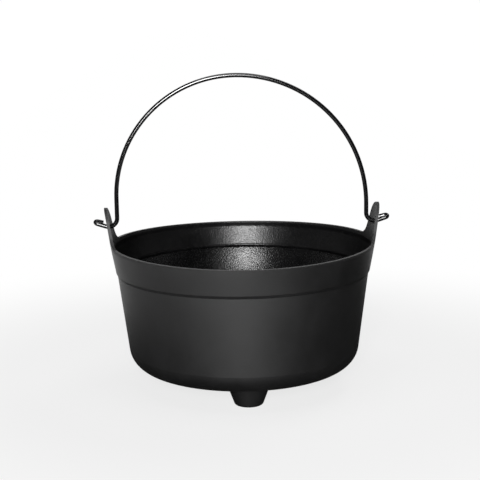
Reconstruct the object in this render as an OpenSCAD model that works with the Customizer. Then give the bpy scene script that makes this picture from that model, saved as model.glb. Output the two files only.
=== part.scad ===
// Cast iron cauldron on three stub feet with a swinging wire bail.
// Units are millimetres, +Z is up, the feet stand on z = 0.
// One foot points to the front (-Y) and the two ears stand to the left and right (+-X).

/* [Pot] */
// Outer diameter across the rim
rim_d = 300; // [220:1:380]
// Height of the rim above the ground, at the front
rim_h = 162.2; // [120:0.1:220]
// Thickness of the casting
wall_t = 3.2; // [2:0.1:5]
// Height of the flared band under the rim
band_h = 28.3; // [12:0.1:40]
// How far the band widens on the radius from its foot up to the rim
band_flare = 5.2; // [0:0.1:8]
// Height of the step between the band and the wall
step_h = 3.4; // [2:0.1:8]
// Depth of the step on the radius
step_in = 1.7; // [0.5:0.1:3]
// How far the wall narrows on the radius from the step down to the corner
wall_draw = 13.5; // [0:0.1:30]
// Radius of the rounded corner between wall and bottom
corner_r = 26; // [8:0.5:36]
// How far the middle of the bottom hangs below its edge
dish_h = 7; // [3:0.5:12]

/* [Ears] */
// How far the rim sweeps up towards the ears
sweep_h = 3.2; // [1:0.1:6]
// Height of the ear tip above the rim
ear_h = 44.2; // [34:0.1:60]
// Radius of the rounded head of an ear
ear_head_r = 20; // [15:0.5:26]
// Angle by which the flanks of an ear spread towards the rim
ear_spread = 19.6; // [8:0.2:26]
// Radius of the fillets between ear and rim
ear_fillet_r = 17; // [8:0.5:26]
// How far an ear leans out on the radius from the rim up to its tip
ear_lean = 6.2; // [2:0.1:12]
// Height of the bail hole above the rim
pivot_h = 22.5; // [16:0.5:28]

/* [Feet] */
// Distance of the feet from the middle of the pot
foot_circle_r = 88.6; // [70:0.2:110]
// Height of the feet below the lowest point of the bottom
foot_h = 15.9; // [10:0.1:30]
// Radius of a foot at the ground
foot_r = 15.4; // [10:0.2:20]
// Angle by which the side of a foot spreads upwards
foot_spread = 20.5; // [5:0.5:30]
// Radius of the rounded edge round the foot base
foot_edge_r = 3.5; // [1:0.5:6]

/* [Bail] */
// Diameter of the wire
wire_d = 5; // [4:0.1:6]
// Gap all round the wire in the ear hole
hole_gap = 0.9; // [0.5:0.1:1.2]
// Radius of the bend that leads an arm into its ear, to the middle of the wire
bend_r = 9.7; // [6.5:0.1:12]
// Mean length of the straight arms between the bend and the arch
arm_l = 16.4; // [12:0.2:40]
// How far the crown of the hand bent wire sits to the left of the middle
crown_shift = 6; // [-8:0.5:8]
// Angle by which the hook outside the ear rises
hook_rise = 18; // [6:1:24]
// Length of the straight strand from the ear to the fold
hook_l = 10; // [8:0.5:20]
// How far the folded strand ends short of the bend through the ear
fold_short = 4; // [3:0.5:7]
// Gap between the two strands where the wire is folded back
fold_gap = 0.5; // [0.3:0.1:1.5]
// Angle by which the folded strand opens away towards the ear
fold_open = 8; // [4:1:12]
// Angle by which the fold leans to the back
fold_lean = 70; // [0:5:80]

/* [Hidden] */
$fn = 96;

// heights of the pot, from the ground up
floor_z = foot_h;
corner_z = floor_z + dish_h;
band_z = rim_h - band_h;
step_z = band_z - step_h;
tip_z = rim_h + ear_h;
top_z = tip_z + 4;
pivot_z = rim_h + pivot_h;

// radii of the outer skin at those heights
rim_r = rim_d / 2;
lean = ear_lean / ear_h;
top_r = rim_r + lean * (top_z - rim_h);
band_r = rim_r - band_flare;
step_r = band_r - step_in;
corner_x = step_r - wall_draw;
dish_x = 0.42 * corner_x;

// the dish is one large arc that ends level in the middle
dish_slope = atan2(dish_h, corner_x - dish_x);
dish_r = 0.97 * dish_x / tan(dish_slope / 2);

// outline of the outer skin from above the ears down to the middle of the bottom
skin = [[top_r, top_z], [rim_r, rim_h], [band_r, band_z], [step_r, step_z],
        [corner_x, corner_z], [dish_x, floor_z], [0, floor_z]];
skin_round = [0, 500, 1.6, 1.6, corner_r, dish_r, 0];
inner_round = [0, 500, 1.6, 1.6, corner_r - wall_t, dish_r - wall_t, 0];

// arcs are laid over their edges by this much, so that they cross them cleanly
lap = 0.01;

// the bail turns about a line through the middle of both ear walls
pivot_x = rim_r + lean * pivot_h - wall_t / 2 * sqrt(1 + lean * lean);
arm_x = pivot_x - bend_r;
bend_z = pivot_z + bend_r;
arch_z = bend_z + arm_l;
hole_r = wire_d / 2 + hole_gap;
fold_r = (wire_d + fold_gap) / 2;
back_l = hook_l - fold_short;

// circle in the side view from which the swept rim is taken
sweep_r = (rim_r * rim_r + sweep_h * sweep_h) / (2 * sweep_h);
sweep_z = rim_h + sweep_h - sweep_r;

// straight flank of an ear in the side view, from the rounded head down
head_z = tip_z - ear_head_r;
flank_top = [ear_head_r * cos(ear_spread), head_z + ear_head_r * sin(ear_spread)];
flank_dir = [sin(ear_spread), -cos(ear_spread)];
flank_out = [cos(ear_spread), sin(ear_spread)];
// the fillet touches the flank and the swept rim
fil_0 = flank_top + ear_fillet_r * flank_out - [0, sweep_z];
fil_b = fil_0 * flank_dir;
fil_c = fil_0 * fil_0 - pow(sweep_r + ear_fillet_r, 2);
fil_way = -fil_b - sqrt(fil_b * fil_b - fil_c);
fil_mid = flank_top + ear_fillet_r * flank_out + fil_way * flank_dir;
fil_flank = fil_mid - ear_fillet_r * flank_out;
fil_rim = [0, sweep_z] + (fil_mid - [0, sweep_z]) * sweep_r / (sweep_r + ear_fillet_r);

function unit(v) = v / norm(v);
function left_of(v) = [-v[1], v[0]];
function cross2(a, b) = a[0] * b[1] - a[1] * b[0];

// crossing of the line through a along u with the line through b along v
function meet(a, u, b, v) = a + u * cross2(b - a, v) / cross2(u, v);

// open outline moved by t to the right hand side of its direction
function inset(p, t) = [for (i = [0 : len(p) - 1])
    let (u = unit(p[min(i + 1, len(p) - 1)] - p[min(i, len(p) - 2)]),
         w = unit(p[max(i, 1)] - p[max(i - 1, 0)]),
         a = p[i] - t * left_of(u), b = p[i] - t * left_of(w))
    abs(cross2(u, w)) < 1e-9 ? a : meet(a, u, b, w)];

// point a little way past b, seen from a
function past(a, b) = b + 0.8 * unit(b - a);

// distance from a corner to the points where its rounding touches
function reach(a, b, r) = r * sqrt((1 + a * b) / (1 - a * b));

// closed section, drawn clockwise, whose corners are rounded with true arcs
module rounded_section(p, rad) {
    n = len(p);
    difference() {
        union() {
            polygon([for (i = [n - 1 : -1 : 0]) p[i]]);
            for (i = [0 : n - 1]) if (rad[i] > 0) corner(p, i, rad[i], false);
        }
        for (i = [0 : n - 1]) if (rad[i] > 0) corner(p, i, rad[i], true);
    }
}

// what rounding corner i takes away (cut) or adds (not cut)
module corner(p, i, r, cut) {
    a = unit(p[(i + len(p) - 1) % len(p)] - p[i]);
    b = unit(p[(i + 1) % len(p)] - p[i]);
    outward = cross2(-a, b) < 0;
    if (outward == cut) {
        t = reach(a, b, r);
        mid = p[i] + sqrt(t * t + r * r) * unit(a + b);
        quad = [mid, past(mid, p[i] + t * b), past(mid, p[i]), past(mid, p[i] + t * a)];
        difference() {
            polygon(cut ? quad : [quad[0], quad[3], quad[2], quad[1]]);
            translate(mid) circle(r = r + lap, $fn = r > 200 ? 1440 : 96);
        }
    }
}

// wall of the pot, carried on up past the ear tips
module wall() {
    inner = inset(skin, wall_t);
    n = len(skin);
    rotate_extrude($fn = 240)
        rounded_section(concat(skin, [for (i = [n - 1 : -1 : 0]) inner[i]]),
                        concat(skin_round, [for (i = [n - 1 : -1 : 0]) inner_round[i]]));
}

// everything below the swept rim and inside the ear outlines, seen from the side
module side_view() {
    flank = [[fil_rim[0], 0], fil_rim - [0, 0.2], fil_mid, fil_flank, flank_top, [0, head_z]];
    difference() {
        polygon(concat(flank, [for (i = [len(flank) - 2 : -1 : 0]) [-flank[i][0], flank[i][1]]]));
        for (side = [-1, 1])
            translate([side * fil_mid[0], fil_mid[1]]) circle(r = ear_fillet_r + 3 * lap, $fn = 180);
    }
    translate([0, head_z]) circle(r = ear_head_r + lap, $fn = 180);
    intersection() {
        translate([0, sweep_z]) circle(r = sweep_r, $fn = 2880);
        translate([-rim_r - 5, -1]) square([rim_d + 10, rim_h + sweep_h + 2]);
    }
}

// stub foot, rounded at the ground and running up past the bottom
module foot() {
    rise = corner_z + wall_t;
    rotate_extrude($fn = 96)
        rounded_section([[0, rise], [foot_r + rise * tan(foot_spread), rise], [foot_r, 0], [0, 0]],
                        [0, 0, foot_edge_r, 0]);
}

// feet cut off half way up the thickness of the bottom
module feet() {
    half = inset(skin, wall_t / 2);
    intersection() {
        for (a = [-90, 30, 150]) rotate([0, 0, a]) translate([foot_circle_r, 0, 0]) foot();
        rotate_extrude($fn = 240)
            polygon([[0, -1], [half[4][0], -1], half[4], half[5], half[6]]);
    }
}

module pot() {
    color([0.16, 0.16, 0.165])
    difference() {
        union() {
            intersection() {
                wall();
                rotate([90, 0, 90])
                    linear_extrude(height = 2 * top_r + 20, center = true) side_view();
            }
            feet();
        }
        translate([0, 0, pivot_z]) rotate([0, 90, 0])
            cylinder(h = 2 * top_r + 40, r = hole_r, center = true);
    }
}

// wire bent round an arc in the X-Z plane, over the given turn from angle a0 on
module wire_arc(r, a0, turn, fn = 96) {
    rotate([90, 0, 0]) rotate([0, 0, a0])
        rotate_extrude(angle = turn, $fn = fn) translate([r, 0]) circle(d = wire_d, $fn = 48);
}

// straight run of wire from the origin along +Z, laid over the arcs at both ends
module wire_run(l, lap_end = true) {
    translate([0, 0, -2 * lap])
        cylinder(h = l + (lap_end ? 4 : 2) * lap, d = wire_d + 2 * lap, $fn = 48);
}

// one end of the bail: straight arm of length l, bend through the ear and the hook outside it
module arm_end(l) {
    translate([arm_x, 0, bend_z]) wire_run(l);
    translate([pivot_x, 0, bend_z]) {
        wire_arc(bend_r, 180, 90 + hook_rise);
        rotate([0, -hook_rise, 0]) translate([0, 0, -bend_r]) rotate([-fold_lean, 0, 0]) hook();
    }
}

// wire going out along +X, folded round and coming back above itself
module hook() {
    rotate([0, 90, 0]) wire_run(hook_l);
    translate([hook_l, 0, fold_r]) {
        wire_arc(fold_r, -90, 180 - fold_open);
        rotate([0, fold_open, 0]) translate([0, 0, fold_r]) rotate([0, -90, 0])
            wire_run(back_l, false);
    }
}

// arch of two quarter circles that meet level at the crown, on arms of unlike length
module bail() {
    color([0.09, 0.09, 0.095]) {
        translate([-crown_shift, 0, arch_z - crown_shift]) wire_arc(arm_x + crown_shift, 0, 90, 240);
        translate([-crown_shift, 0, arch_z + crown_shift]) wire_arc(arm_x - crown_shift, 90, 90, 240);
        arm_end(arm_l - crown_shift);
        mirror([1, 0, 0]) arm_end(arm_l + crown_shift);
    }
}

pot();
bail();
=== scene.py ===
"""Cast iron cauldron with a wire bail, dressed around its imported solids.

The solids of the casting and of the wire already have their true shape, so
this script gives them their finishes, sets the studio and places the camera.
All lengths are metres and all places are in the frame of the solids.
"""

import logging
import math
from dataclasses import dataclass, field
from enum import Enum
from typing import Union

import bmesh
import bpy
from mathutils import Matrix, Vector


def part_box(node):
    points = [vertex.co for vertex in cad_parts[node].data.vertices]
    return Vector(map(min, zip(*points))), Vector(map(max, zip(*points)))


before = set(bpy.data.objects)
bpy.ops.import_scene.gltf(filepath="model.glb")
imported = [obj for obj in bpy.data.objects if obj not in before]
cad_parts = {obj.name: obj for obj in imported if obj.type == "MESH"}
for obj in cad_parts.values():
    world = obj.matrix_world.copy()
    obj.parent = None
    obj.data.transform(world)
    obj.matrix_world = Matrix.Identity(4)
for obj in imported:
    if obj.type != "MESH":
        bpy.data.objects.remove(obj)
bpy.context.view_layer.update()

LOG = logging.getLogger("cauldron")
RIM_HEIGHT = 0.1622

Colour = tuple[float, float, float]
Point = tuple[float, float, float]
Range = tuple[float, float]
Socket = bpy.types.NodeSocket
Sockets = dict[str, bpy.types.NodeSocket]
Value = Union[bpy.types.NodeSocket, float, tuple[float, ...]]

WHITE: Colour = (1.0, 1.0, 1.0)


class Body(Enum):
    """The bodies of the cauldron that move against each other."""

    POT = "pot"
    BAIL = "bail"


class SocketKind(Enum):
    """The kinds of socket that the shared effects use."""

    NUMBER = "NodeSocketFloat"
    VECTOR = "NodeSocketVector"


def rgba(colour: Colour) -> tuple[float, float, float, float]:
    """Returns the colour with full opacity."""
    return (*colour, 1.0)


class Graph:
    """A small writer for shader trees, used by materials, groups and the world."""

    def __init__(self, tree: bpy.types.NodeTree) -> None:
        """Keeps the tree that is written to.

        Args:
            tree: the node tree to fill.
        """
        self.tree = tree

    def node(self, kind: str, **settings: object) -> bpy.types.Node:
        """Adds a node.

        Args:
            kind: the node's type name.
            settings: attributes of the node, such as operation.

        Returns:
            The new node.
        """
        made = self.tree.nodes.new(kind)
        for name, value in settings.items():
            setattr(made, name, value)
        return made

    def feed(self, socket: Socket, value: Value) -> None:
        """Links an output to a socket, or sets the socket's own value.

        Args:
            socket: the input to fill.
            value: an output socket, a number or a tuple.
        """
        if isinstance(value, bpy.types.NodeSocket):
            self.tree.links.new(value, socket)
        else:
            socket.default_value = value

    def math(self, operation: str, *values: Value, clamp: bool = False) -> Socket:
        """Adds a Math node.

        Args:
            operation: the operation's name.
            values: sockets or numbers, in the node's order.
            clamp: whether the result stays between 0 and 1.

        Returns:
            The node's output.
        """
        made = self.node("ShaderNodeMath", operation=operation, use_clamp=clamp)
        for socket, value in zip(made.inputs, values):
            self.feed(socket, value)
        return made.outputs[0]

    def between(self, share: Value, first: float, second: float) -> Socket:
        """Goes evenly from one number to another.

        Args:
            share: how far towards the second number it is, from 0 to 1.
            first: the result at a share of 0.
            second: the result at a share of 1.

        Returns:
            The number.
        """
        return self.math("MULTIPLY_ADD", share, second - first, first)

    def vector_math(self, operation: str, *values: Value) -> bpy.types.Node:
        """Adds a Vector Math node.

        Args:
            operation: the operation's name.
            values: sockets or tuples, in the node's order.

        Returns:
            The node, with the outputs Vector and Value.
        """
        made = self.node("ShaderNodeVectorMath", operation=operation)
        for socket, value in zip(made.inputs, values):
            self.feed(socket, value)
        return made

    def split(self, vector: Value) -> Sockets:
        """Splits a vector.

        Args:
            vector: the vector.

        Returns:
            Its parts X, Y and Z, by name.
        """
        made = self.node("ShaderNodeSeparateXYZ")
        self.feed(made.inputs[0], vector)
        return {axis: made.outputs[axis] for axis in "XYZ"}

    def remap(self, value: Value, given: Range, wanted: Range = (0.0, 1.0)) -> Socket:
        """Maps a value smoothly from one range to another.

        Args:
            value: the value to map.
            given: start and end of the range that comes in.
            wanted: the results at that start and at that end.

        Returns:
            The mapped value.
        """
        made = self.node("ShaderNodeMapRange", interpolation_type="SMOOTHSTEP")
        for socket, number in zip(made.inputs, (value, *given, *wanted)):
            self.feed(socket, number)
        return made.outputs[0]

    def noise(
        self,
        place: Value,
        scale: Value,
        detail: float,
        rough: float = 0.5,
        distortion: float = 0.0,
    ) -> Socket:
        """Adds a three-dimensional noise.

        Args:
            place: the coordinates.
            scale: waves in a metre.
            detail: octaves of finer noise.
            rough: how strong the finer octaves are.
            distortion: how much the waves are twisted.

        Returns:
            The noise, around a half.
        """
        made = self.node("ShaderNodeTexNoise")
        self.feed(made.inputs["Vector"], place)
        self.feed(made.inputs["Scale"], scale)
        self.feed(made.inputs["Detail"], detail)
        self.feed(made.inputs["Roughness"], rough)
        self.feed(made.inputs["Distortion"], distortion)
        return made.outputs[0]

    def blend(self, share: Value, first: Colour, second: Colour) -> Socket:
        """Mixes two colours.

        Args:
            share: how much of the second colour there is.
            first: the colour at a share of 0.
            second: the colour at a share of 1.

        Returns:
            The mixed colour.
        """
        made = self.node("ShaderNodeMix", data_type="RGBA")
        self.feed(made.inputs["Factor"], share)
        self.feed(made.inputs["A"], rgba(first))
        self.feed(made.inputs["B"], rgba(second))
        return made.outputs["Result"]

    def use(self, group: bpy.types.NodeTree, **values: Value) -> bpy.types.Node:
        """Places a shared effect.

        Args:
            group: the effect's node group.
            values: its inputs, with _ for a blank.

        Returns:
            The group node.
        """
        made = self.node("ShaderNodeGroup", node_tree=group)
        for name, value in values.items():
            self.feed(made.inputs[name.replace("_", " ")], value)
        return made


def new_group(
    name: str, takes: dict[str, SocketKind], gives: dict[str, SocketKind]
) -> tuple[Graph, Sockets, Sockets]:
    """Starts a shared effect.

    Args:
        name: the group's name.
        takes: its inputs.
        gives: its outputs.

    Returns:
        The graph, the input sockets by name and the output sockets by name.
    """
    tree = bpy.data.node_groups.new(name, "ShaderNodeTree")
    for label, kind in takes.items():
        tree.interface.new_socket(label, in_out="INPUT", socket_type=kind.value)
    for label, kind in gives.items():
        tree.interface.new_socket(label, in_out="OUTPUT", socket_type=kind.value)
    graph = Graph(tree)
    inlet = graph.node("NodeGroupInput").outputs
    outlet = graph.node("NodeGroupOutput").inputs
    return graph, {k: inlet[k] for k in takes}, {k: outlet[k] for k in gives}


def new_finish(name: str) -> tuple[bpy.types.Material, Graph, bpy.types.Node]:
    """Starts a material.

    Args:
        name: the material's name.

    Returns:
        The material, its graph and its Principled shader.
    """
    made = bpy.data.materials.new(name)
    made.use_nodes = True
    return made, Graph(made.node_tree), made.node_tree.nodes["Principled BSDF"]


@dataclass(frozen=True)
class SandGrain:
    """Shared effect: the grain of a casting, with sand, pebbles and a few pits.

    Attributes:
        sand: grains of fine sand in a metre.
        swells: soft swells in a metre.
        pebbles: pebbles in a metre.
        pebble_relief: height of a pebble against that of a swell.
        pits: places for a pit in a metre.
        pit_levels: noise at which a pit starts, and at which it is deepest.
    """

    sand: float = 1400.0
    swells: float = 700.0
    pebbles: float = 620.0
    pebble_relief: float = 1.1
    pits: float = 420.0
    pit_levels: Range = (0.64, 0.74)

    def group(self) -> bpy.types.NodeTree:
        """Builds the effect.

        Returns:
            The group, with Height, and Pits, which is above 0 in a pit.
        """
        graph, takes, gives = new_group(
            "sand_grain",
            {
                "Place": SocketKind.VECTOR,
                "Grain": SocketKind.NUMBER,
                "Lumpiness": SocketKind.NUMBER,
                "Pitting": SocketKind.NUMBER,
            },
            {"Height": SocketKind.NUMBER, "Pits": SocketKind.NUMBER},
        )
        place = takes["Place"]
        sand = graph.noise(place, self.sand, detail=2.0, rough=0.6)
        swells = graph.noise(place, self.swells, detail=1.0)
        pebbles = graph.node("ShaderNodeTexVoronoi")
        graph.feed(pebbles.inputs["Vector"], place)
        graph.feed(pebbles.inputs["Scale"], self.pebbles)
        away = pebbles.outputs["Distance"]
        lumps = graph.math("MULTIPLY_ADD", away, -self.pebble_relief, swells)
        hollows = graph.noise(place, self.pits, detail=2.0, rough=0.4)
        pits = graph.remap(hollows, self.pit_levels)
        fine = graph.math("MULTIPLY", sand, takes["Grain"])
        rough = graph.math("MULTIPLY_ADD", lumps, takes["Lumpiness"], fine)
        holes = graph.math("MULTIPLY", pits, takes["Pitting"])
        graph.feed(gives["Height"], graph.math("SUBTRACT", rough, holes))
        graph.feed(gives["Pits"], holes)
        return graph.tree


@dataclass(frozen=True)
class Handling:
    """Shared effect: cloudy marks left by hands and oil, and specks of dust.

    Attributes:
        cloud_levels: noise at which a cloud starts, and at which it is full.
        specks: places for a speck in a metre.
        speck_levels: noise at which a speck starts, and at which it is full.
    """

    cloud_levels: Range = (0.3, 0.7)
    specks: float = 520.0
    speck_levels: Range = (0.5, 0.72)

    def group(self) -> bpy.types.NodeTree:
        """Builds the effect.

        Returns:
            The group, with Clouds and Specks, both from 0 to 1.
        """
        graph, takes, gives = new_group(
            "handling",
            {"Place": SocketKind.VECTOR, "Cloud size": SocketKind.NUMBER},
            {"Clouds": SocketKind.NUMBER, "Specks": SocketKind.NUMBER},
        )
        place = takes["Place"]
        scale = graph.math("DIVIDE", 1.0, takes["Cloud size"])
        wide = graph.noise(place, scale, detail=5.0, rough=0.6, distortion=0.4)
        graph.feed(gives["Clouds"], graph.remap(wide, self.cloud_levels))
        dust = graph.noise(place, self.specks, detail=2.0, rough=0.7)
        graph.feed(gives["Specks"], graph.remap(dust, self.speck_levels))
        return graph.tree


@dataclass(frozen=True)
class InnerSide:
    """Shared effect: tells the inner face of the pot from its outer one.

    Attributes:
        inward: a face whose normal leans outwards by less than this looks inwards.
        upward: a face whose normal rises by more than this looks up.
        floor_radius: radius within which a face that looks up is the pot's floor.
    """

    inward: float = -0.3
    upward: float = 0.4
    floor_radius: float = 0.14

    def group(self) -> bpy.types.NodeTree:
        """Builds the effect.

        Returns:
            The group, with Inside, which is 1 on faces that look at the pot's
            axis or up from its floor, and Height, the height of the point.
        """
        graph, takes, gives = new_group(
            "inner_side",
            {
                "Place": SocketKind.VECTOR,
                "Facing": SocketKind.VECTOR,
                "Floor height": SocketKind.NUMBER,
            },
            {"Inside": SocketKind.NUMBER, "Height": SocketKind.NUMBER},
        )
        spot = graph.split(takes["Place"])
        level = graph.node("ShaderNodeCombineXYZ")
        graph.feed(level.inputs["X"], spot["X"])
        graph.feed(level.inputs["Y"], spot["Y"])
        from_axis = level.outputs[0]
        outward = graph.vector_math("NORMALIZE", from_axis).outputs["Vector"]
        facing = takes["Facing"]
        lean = graph.vector_math("DOT_PRODUCT", outward, facing).outputs["Value"]
        rise = graph.split(facing)["Z"]
        radius = graph.vector_math("LENGTH", from_axis).outputs["Value"]
        wall = graph.math("LESS_THAN", lean, self.inward)
        looks_up = graph.math("GREATER_THAN", rise, self.upward)
        within = graph.math("LESS_THAN", radius, self.floor_radius)
        floor = graph.math("MULTIPLY", looks_up, within)
        above = graph.math("GREATER_THAN", spot["Z"], takes["Floor height"])
        inner = graph.math("MAXIMUM", wall, floor)
        graph.feed(gives["Inside"], graph.math("MULTIPLY", inner, above))
        graph.feed(gives["Height"], spot["Z"])
        return graph.tree


class Effects:
    """The shared effects, each built once."""

    def __init__(self) -> None:
        """Builds every effect."""
        self.sand_grain = SandGrain().group()
        self.handling = Handling().group()
        self.inner_side = InnerSide().group()


@dataclass(frozen=True)
class CastIronFinish:
    """Black seasoned cast iron, satin outside and grainy inside.

    Attributes:
        iron: colour of the seasoned skin.
        worn: colour where the skin is rubbed thin.
        clouding: how much of the worn colour the clouds bring.
        speckling: how much of it the specks bring, outside and inside.
        cloud_size: size of the clouds.
        outer_gloss: roughness outside, best oiled and driest.
        inner_gloss: roughness inside, best oiled and driest.
        rim_dryness: how much rougher the inside of the rim band is.
        edge_dryness: how much rougher the rim's edge and the ears are.
        edge_depth: how far below the rim that starts, and where it is full.
        pocked: how much rougher the small pocks of the inside are.
        pit_dryness: how much rougher a pit is.
        density: refractive index of the skin.
        oil_share: how much of the outside has a coat of baked oil.
        oil_gloss: roughness of that coat.
        oil_density: refractive index of that coat.
        relief: height of the grain.
        sand: share of fine sand in the grain.
        lumps: share of coarser lumps in the grain, outside and inside.
        pitting: depth of the pits, in grain heights.
        groove: depth of the undercut along the inner step, in grain heights.
        hollow: how far below the inner step the wall starts to hollow towards it.
        lip: how far the inner rim turns in, in grain heights.
        lip_depth: how far below the rim that starts.
        floor_height: height of the pot's inner floor.
        band_height: height at which the rim band starts inside.
        step_height: height of the step under it.
        rim_height: height of the rim.
    """

    iron: Colour = (0.0025, 0.0025, 0.0027)
    worn: Colour = (0.008, 0.008, 0.0084)
    clouding: float = 0.4
    speckling: Range = (0.25, 0.6)
    cloud_size: float = 0.04
    outer_gloss: Range = (0.495, 0.565)
    inner_gloss: Range = (0.235, 0.28)
    rim_dryness: float = 0.04
    edge_dryness: float = 0.26
    edge_depth: Range = (0.0012, 0.0002)
    pocked: float = 0.14
    pit_dryness: float = 0.2
    density: float = 1.56
    oil_share: float = 0.95
    oil_gloss: float = 0.52
    oil_density: float = 1.5
    relief: float = 0.00018
    sand: float = 0.15
    lumps: Range = (0.15, 0.65)
    pitting: float = 0.15
    groove: float = 12.0
    hollow: float = 0.035
    lip: float = 8.0
    lip_depth: float = 0.0065
    floor_height: float = 0.019
    band_height: float = 0.1337
    step_height: float = 0.0034
    rim_height: float = RIM_HEIGHT

    def material(self, effects: Effects) -> bpy.types.Material:
        """Builds the material.

        Args:
            effects: the shared effects.

        Returns:
            The material.
        """
        made, graph, skin = new_finish("cast_iron_skin")
        coords = graph.node("ShaderNodeTexCoord").outputs
        place = coords["Object"]
        side = graph.use(
            effects.inner_side,
            Place=place,
            Facing=coords["Normal"],
            Floor_height=self.floor_height,
        ).outputs
        inside = side["Inside"]
        grain = graph.use(
            effects.sand_grain,
            Place=place,
            Grain=self.sand,
            Lumpiness=graph.between(inside, *self.lumps),
            Pitting=self.pitting,
        ).outputs
        marks = graph.use(
            effects.handling, Place=place, Cloud_size=self.cloud_size
        ).outputs
        oil = graph.between(inside, self.oil_share, 0.0)
        gloss = self.gloss(graph, side, marks)
        dry_pits = graph.math("MULTIPLY_ADD", grain["Pits"], self.pit_dryness, gloss)
        edges = self.inner_edges(graph, side["Height"])
        shape = graph.math("MULTIPLY_ADD", edges, inside, grain["Height"])
        bump = graph.node("ShaderNodeBump")
        graph.feed(bump.inputs["Distance"], self.relief)
        graph.feed(bump.inputs["Height"], shape)
        graph.feed(skin.inputs["Base Color"], self.colour(graph, inside, marks))
        graph.feed(skin.inputs["Roughness"], dry_pits)
        graph.feed(skin.inputs["Normal"], bump.outputs["Normal"])
        graph.feed(skin.inputs["Coat Weight"], oil)
        skin.inputs["IOR"].default_value = self.density
        skin.inputs["Coat Roughness"].default_value = self.oil_gloss
        skin.inputs["Coat IOR"].default_value = self.oil_density
        return made

    def colour(self, graph: Graph, inside: Socket, marks: Sockets) -> Socket:
        """Mixes the colour of the skin.

        Args:
            graph: the material's graph.
            inside: 1 on the inner face.
            marks: the clouds and specks.

        Returns:
            The colour.
        """
        cloudy = graph.math("MULTIPLY", marks["Clouds"], self.clouding)
        speckling = graph.between(inside, *self.speckling)
        speckled = graph.math("MULTIPLY", marks["Specks"], speckling)
        share = graph.math("ADD", cloudy, speckled, clamp=True)
        return graph.blend(share, self.iron, self.worn)

    def gloss(self, graph: Graph, side: Sockets, marks: Sockets) -> Socket:
        """Works out how rough the skin is, apart from its pits.

        Args:
            graph: the material's graph.
            side: the mask of the inner face and the height of the point.
            marks: the clouds and specks.

        Returns:
            The roughness.
        """
        inside, height = side["Inside"], side["Height"]
        oiled = graph.between(inside, self.outer_gloss[0], self.inner_gloss[0])
        dry = graph.between(inside, self.outer_gloss[1], self.inner_gloss[1])
        spread = graph.math("SUBTRACT", dry, oiled)
        skin = graph.math("MULTIPLY_ADD", marks["Clouds"], spread, oiled)
        step = (self.band_height - self.step_height, self.band_height)
        band = graph.remap(height, step, (0.0, self.rim_dryness))
        pocks = graph.math("MULTIPLY_ADD", marks["Specks"], self.pocked, band)
        start, full = (self.rim_height - depth for depth in self.edge_depth)
        edge = graph.remap(height, (start, full), (0.0, self.edge_dryness))
        outer = graph.math("ADD", skin, edge)
        return graph.math("MULTIPLY_ADD", pocks, inside, outer)

    def inner_edges(self, graph: Graph, height: Socket) -> Socket:
        """Shapes the inner face along the step and along the rim.

        Args:
            graph: the material's graph.
            height: the height of the point.

        Returns:
            The relief, in grain heights.
        """
        top = self.band_height
        foot = top - self.step_height
        wall = (foot - self.hollow, foot)
        under_foot = graph.remap(height, wall, (0.0, -self.groove))
        under_top = graph.remap(height, (foot, top), (1.0, 0.0))
        rim = (self.rim_height - self.lip_depth, self.rim_height)
        lip = graph.remap(height, rim, (0.0, self.lip))
        return graph.math("MULTIPLY_ADD", under_foot, under_top, lip)


@dataclass(frozen=True)
class GlossWireFinish:
    """Gloss black paint over steel wire.

    Attributes:
        paint: colour of the paint.
        bare: colour where it is rubbed.
        rubbing: how much of the bare colour the specks bring.
        cloud_size: size of the clouds.
        roughness: roughness of the clean paint.
        smears: how much rougher the clouds are.
        density: refractive index of the paint.
        relief: height of the paint's unevenness.
        relief_share: how strongly that unevenness shows.
        sand: share of fine sand in it.
        lumps: share of coarser lumps in it.
        pitting: depth of its pits.
    """

    paint: Colour = (0.004, 0.004, 0.0045)
    bare: Colour = (0.02, 0.0195, 0.019)
    rubbing: float = 0.2
    cloud_size: float = 0.02
    roughness: float = 0.1
    smears: float = 0.05
    density: float = 1.9
    relief: float = 0.000005
    relief_share: float = 0.5
    sand: float = 0.5
    lumps: float = 0.15
    pitting: float = 0.1

    def material(self, effects: Effects) -> bpy.types.Material:
        """Builds the material.

        Args:
            effects: the shared effects.

        Returns:
            The material.
        """
        made, graph, skin = new_finish("gloss_wire_paint")
        place = graph.node("ShaderNodeTexCoord").outputs["Object"]
        grain = graph.use(
            effects.sand_grain,
            Place=place,
            Grain=self.sand,
            Lumpiness=self.lumps,
            Pitting=self.pitting,
        ).outputs
        marks = graph.use(
            effects.handling, Place=place, Cloud_size=self.cloud_size
        ).outputs
        share = graph.math("MULTIPLY", marks["Specks"], self.rubbing)
        gloss = graph.math("MULTIPLY_ADD", marks["Clouds"], self.smears, self.roughness)
        bump = graph.node("ShaderNodeBump")
        graph.feed(bump.inputs["Strength"], self.relief_share)
        graph.feed(bump.inputs["Distance"], self.relief)
        graph.feed(bump.inputs["Height"], grain["Height"])
        graph.feed(skin.inputs["Base Color"], graph.blend(share, self.paint, self.bare))
        graph.feed(skin.inputs["Roughness"], gloss)
        graph.feed(skin.inputs["Normal"], bump.outputs["Normal"])
        skin.inputs["IOR"].default_value = self.density
        return made


def dress_node(body: Body, material: bpy.types.Material) -> None:
    """Puts a material on a solid that keeps its shape.

    Args:
        body: the body, whose only solid has its name.
        material: its finish.
    """
    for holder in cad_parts[body.value].material_slots:
        holder.material = material
    low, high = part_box(body.value)
    size = " x ".join(f"{1000.0 * (b - a):.1f}" for a, b in zip(low, high))
    LOG.info("%s: %s mm, finish %s", body.value, size, material.name)


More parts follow.
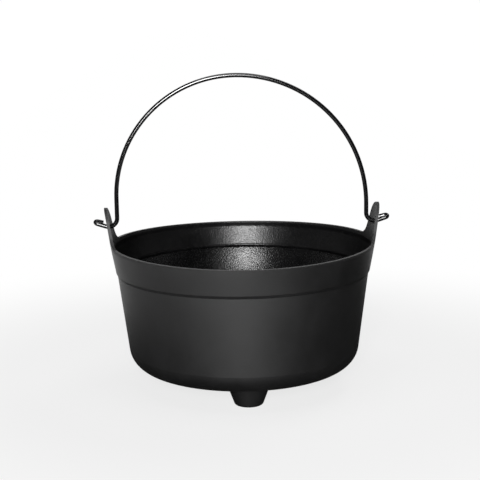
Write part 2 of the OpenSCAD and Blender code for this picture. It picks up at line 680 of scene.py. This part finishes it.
@dataclass(frozen=True)
class Casting:
    """The pot: one casting with its rim band, ears and feet.

    Attributes:
        finish: its skin.
    """

    finish: CastIronFinish = field(default_factory=CastIronFinish)

    def dress(self, effects: Effects) -> None:
        """Gives the casting its skin.

        Args:
            effects: the shared effects.
        """
        dress_node(Body.POT, self.finish.material(effects))


@dataclass(frozen=True)
class Bail:
    """The bail: one bent wire.

    Attributes:
        finish: its paint.
    """

    finish: GlossWireFinish = field(default_factory=GlossWireFinish)

    def dress(self, effects: Effects) -> None:
        """Gives the wire its paint.

        Args:
            effects: the shared effects.
        """
        dress_node(Body.BAIL, self.finish.material(effects))


def lay_sheet(
    name: str, sheet: bmesh.types.BMesh, material: bpy.types.Material
) -> bpy.types.Object:
    """Adds a flat piece of the studio, which isn't part of the cauldron.

    Args:
        name: its name.
        sheet: its shape, which is freed.
        material: its material.

    Returns:
        The piece.
    """
    mesh = bpy.data.meshes.new(name)
    sheet.to_mesh(mesh)
    sheet.free()
    mesh.materials.append(material)
    laid = bpy.data.objects.new(name, mesh)
    bpy.context.scene.collection.objects.link(laid)
    return laid


@dataclass(frozen=True)
class PaperFloor:
    """Pale paper that keeps the shadow, and is white to the eye further out.

    It is white in reflections too, but only behind the pot, where the back of
    the studio is white.

    Attributes:
        left: its left end.
        front: its front end.
        right: its right end.
        back: its back end.
        colour: colour of the paper.
        roughness: roughness of the paper.
        near: how white it is to the eye beside the pot, whatever light falls on it.
        fade: distance at which that starts to rise, and at which it is all white.
    """

    left: float = -0.8
    front: float = -0.7
    right: float = 0.8
    back: float = 40.0
    colour: Colour = (0.9, 0.9, 0.9)
    roughness: float = 0.9
    near: float = 0.75
    fade: Range = (0.25, 0.7)

    def lay(self) -> None:
        """Adds the floor."""
        size = (self.right - self.left, self.back - self.front, 1.0)
        middle = ((self.left + self.right) / 2.0, (self.front + self.back) / 2.0, 0.0)
        sheet = bmesh.new()
        bmesh.ops.create_grid(sheet, x_segments=1, y_segments=1, size=0.5)
        bmesh.ops.scale(sheet, vec=size, verts=sheet.verts)
        bmesh.ops.translate(sheet, vec=middle, verts=sheet.verts)
        lay_sheet("floor", sheet, self.material())

    def material(self) -> bpy.types.Material:
        """Builds the floor's material.

        Returns:
            The material.
        """
        made, graph, paper = new_finish("floor_paper")
        paper.inputs["Base Color"].default_value = rgba(self.colour)
        paper.inputs["Roughness"].default_value = self.roughness
        paper.inputs["Specular IOR Level"].default_value = 0.0
        place = graph.node("ShaderNodeTexCoord").outputs["Object"]
        away = graph.vector_math("LENGTH", place).outputs["Value"]
        path = graph.node("ShaderNodeLightPath").outputs
        eye = graph.remap(away, self.fade, (self.near, 1.0))
        behind = graph.remap(graph.split(place)["Y"], self.fade)
        bounced = (path["Is Glossy Ray"], path["Is Transmission Ray"])
        mirror = graph.math("MAXIMUM", *bounced)
        seen = graph.math("MULTIPLY", path["Is Camera Ray"], eye)
        mirrored = graph.math("MULTIPLY", mirror, behind)
        glow = graph.node("ShaderNodeEmission")
        graph.feed(glow.inputs["Color"], rgba(WHITE))
        both = graph.node("ShaderNodeMixShader")
        graph.feed(both.inputs[0], graph.math("MAXIMUM", seen, mirrored))
        graph.feed(both.inputs[1], paper.outputs[0])
        graph.feed(both.inputs[2], glow.outputs[0])
        surface = made.node_tree.nodes["Material Output"].inputs["Surface"]
        graph.feed(surface, both.outputs[0])
        return made


@dataclass(frozen=True)
class ReflectionShadeCard:
    """An oval black card under and beside the pot, which only reflections see: it is
    painted shade in the pot's reflections, where the lit paper would be mirrored.

    Attributes:
        off_right: how far to the right of the pot's axis its middle lies.
        width: its width.
        depth: its size from front to back.
        lift: its height above the floor.
        corners: number of its corners.
        colour: its colour.
    """

    off_right: float = 0.22
    width: float = 1.14
    depth: float = 0.88
    lift: float = 0.0005
    corners: int = 96
    # colour: its colour, the painted shade of those reflections.
    colour: Colour = (0.01, 0.01, 0.01)

    def lay(self) -> None:
        """Adds the card."""
        size = (self.width, self.depth, 1.0)
        middle = (self.off_right, 0.0, self.lift)
        sheet = bmesh.new()
        bmesh.ops.create_circle(
            sheet, cap_ends=True, segments=self.corners, radius=0.5
        )
        bmesh.ops.scale(sheet, vec=size, verts=sheet.verts)
        bmesh.ops.translate(sheet, vec=middle, verts=sheet.verts)
        made, _, skin = new_finish("reflection_shade_card")
        skin.inputs["Base Color"].default_value = rgba(self.colour)
        skin.inputs["Roughness"].default_value = 1.0
        skin.inputs["Specular IOR Level"].default_value = 0.0
        card = lay_sheet("reflection_shade", sheet, made)
        # Seen only by glossy rays, the card paints shade into the pot's reflections and
        # casts none.
        card.visible_camera = False
        card.visible_diffuse = False
        card.visible_shadow = False
        card.visible_transmission = False


@dataclass(frozen=True)
class Room:
    """The world: white to the camera and behind the pot, and dim before it.

    A direction is given by the part of its unit vector along an axis.

    Attributes:
        behind: how far back a direction points where the white starts, and where
            it is full.
        left: how far right a direction points where the dim wall on the left is
            full, and where it ends.
        left_level: strength of that wall.
        dark: strength everywhere else.
    """

    behind: Range = (0.8, 0.95)
    left: Range = (-0.9, -0.2)
    left_level: float = 0.06
    dark: float = 0.004

    def light(self) -> None:
        """Makes the world."""
        world = bpy.data.worlds.new("studio_world")
        bpy.context.scene.world = world
        world.use_nodes = True
        graph = Graph(world.node_tree)
        way = graph.split(graph.node("ShaderNodeTexCoord").outputs["Generated"])
        behind = graph.remap(way["Y"], self.behind)
        left = graph.remap(way["X"], self.left, (self.left_level, 0.0))
        walls = graph.math("MAXIMUM", behind, left)
        room = graph.math("ADD", walls, self.dark)
        camera = graph.node("ShaderNodeLightPath").outputs["Is Camera Ray"]
        ground = world.node_tree.nodes["Background"]
        graph.feed(ground.inputs["Color"], rgba(WHITE))
        graph.feed(ground.inputs["Strength"], graph.math("MAXIMUM", camera, room))


@dataclass(frozen=True)
class Softbox:
    """A plain area light that points at the cauldron.

    Attributes:
        name: its name.
        bearing: its direction seen from the pot, in degrees to the right of the
            camera.
        height_angle: its angle above the ground, in degrees.
        distance: how far it hangs from what it points at.
        width: its width.
        height: its height.
        power: its power in watts.
        aim: what it points at.
    """

    name: str
    bearing: float
    height_angle: float
    distance: float
    width: float
    height: float
    power: float
    aim: Point = (0.0, 0.0, 0.12)

    def hang(self, turn: float) -> None:
        """Adds the light to the scene.

        Args:
            turn: the camera's own bearing, in degrees.
        """
        lamp = bpy.data.lights.new(self.name, "AREA")
        lamp.shape = "RECTANGLE"
        lamp.size = self.width
        lamp.size_y = self.height
        lamp.energy = self.power
        bearing = math.radians(self.bearing + turn)
        rise = math.radians(self.height_angle)
        reach = math.cos(rise)
        back = Vector(
            (math.sin(bearing) * reach, -math.cos(bearing) * reach, math.sin(rise))
        )
        stand = Matrix.Translation(Vector(self.aim) + self.distance * back)
        facing = back.to_track_quat("Z", "Y").to_matrix().to_4x4()
        holder = bpy.data.objects.new(self.name, lamp)
        holder.matrix_world = stand @ facing
        bpy.context.scene.collection.objects.link(holder)


@dataclass(frozen=True)
class Viewpoint:
    """The camera as it stood for the photo.

    Attributes:
        distance: from the middle of the rim to the camera.
        rim_height: height of the rim that it looks at.
        elevation: angle in degrees by which it looks down.
        roll: angle in degrees by which it is rolled.
        turn: angle in degrees by which it stands to the side of the pot's front.
        focal: focal length, in pixels of the photo.
        picture: width of the photo, in pixels.
        off_right: how far right of the photo's middle its line of sight falls, in
            pixels.
        off_down: how far below the photo's middle it falls, in pixels.
        sensor: width of its sensor, in millimetres.
        sees: the nearest and the farthest that it sees.
    """

    distance: float = 1.3627
    rim_height: float = RIM_HEIGHT
    elevation: float = 10.844
    roll: float = -0.862
    turn: float = -2.8
    focal: float = 1192.4
    picture: float = 480.0
    off_right: float = 2.67
    off_down: float = 3.06
    sensor: float = 36.0
    sees: Range = (0.01, 200.0)

    def place(self) -> None:
        """Adds the camera and makes it the scene's."""
        lens = bpy.data.cameras.new("camera")
        lens.sensor_fit = "HORIZONTAL"
        lens.sensor_width = self.sensor
        lens.lens = self.focal * self.sensor / self.picture
        lens.shift_x = -self.off_right / self.picture
        lens.shift_y = self.off_down / self.picture
        lens.clip_start, lens.clip_end = self.sees
        turned = Matrix.Rotation(math.radians(self.turn), 4, "Z")
        tilted = Matrix.Rotation(math.radians(90.0 - self.elevation), 4, "X")
        rolled = Matrix.Rotation(math.radians(self.roll), 4, "Z")
        sight = turned @ tilted @ rolled
        back = sight.to_3x3() @ Vector((0.0, 0.0, self.distance))
        eye = Vector((0.0, 0.0, self.rim_height)) + back
        holder = bpy.data.objects.new("camera", lens)
        holder.matrix_world = Matrix.Translation(eye) @ sight
        bpy.context.scene.collection.objects.link(holder)
        bpy.context.scene.camera = holder
        LOG.info(
            "camera: %.2f m away, %.1f degrees above the rim",
            self.distance,
            self.elevation,
        )


@dataclass(frozen=True)
class Studio:
    """Floor, card, world, lights and camera.

    Attributes:
        floor: the paper floor.
        card: the black card that paints shade into the pot's reflections.
        room: the world.
        view: the camera.
        lights: the softboxes.
    """

    floor: PaperFloor = field(default_factory=PaperFloor)
    card: ReflectionShadeCard = field(default_factory=ReflectionShadeCard)
    room: Room = field(default_factory=Room)
    view: Viewpoint = field(default_factory=Viewpoint)
    lights: tuple[Softbox, ...] = (
        Softbox("key_front", -4.5, 14.0, 5.0, 1.2, 2.3, 230.0),
        Softbox("fill_front", 5.5, 14.0, 5.0, 0.6, 2.3, 36.0),
        Softbox("top", 0.0, 80.0, 1.6, 1.0, 0.8, 5.0),
        Softbox("back", 140.0, 50.0, 5.0, 2.0, 2.0, 30.0),
    )

    def build(self) -> None:
        """Sets the whole studio."""
        bpy.context.scene.view_settings.view_transform = "Standard"
        self.floor.lay()
        self.card.lay()
        self.room.light()
        for light in self.lights:
            light.hang(self.view.turn)
        self.view.place()
        LOG.info("studio: %d softboxes over a pale floor", len(self.lights))


def main() -> None:
    """Dresses the cauldron and sets the studio."""
    logging.basicConfig(level=logging.INFO, format="%(name)s: %(message)s")
    effects = Effects()
    Casting().dress(effects)
    Bail().dress(effects)
    Studio().build()


if __name__ == "__main__":
    main()
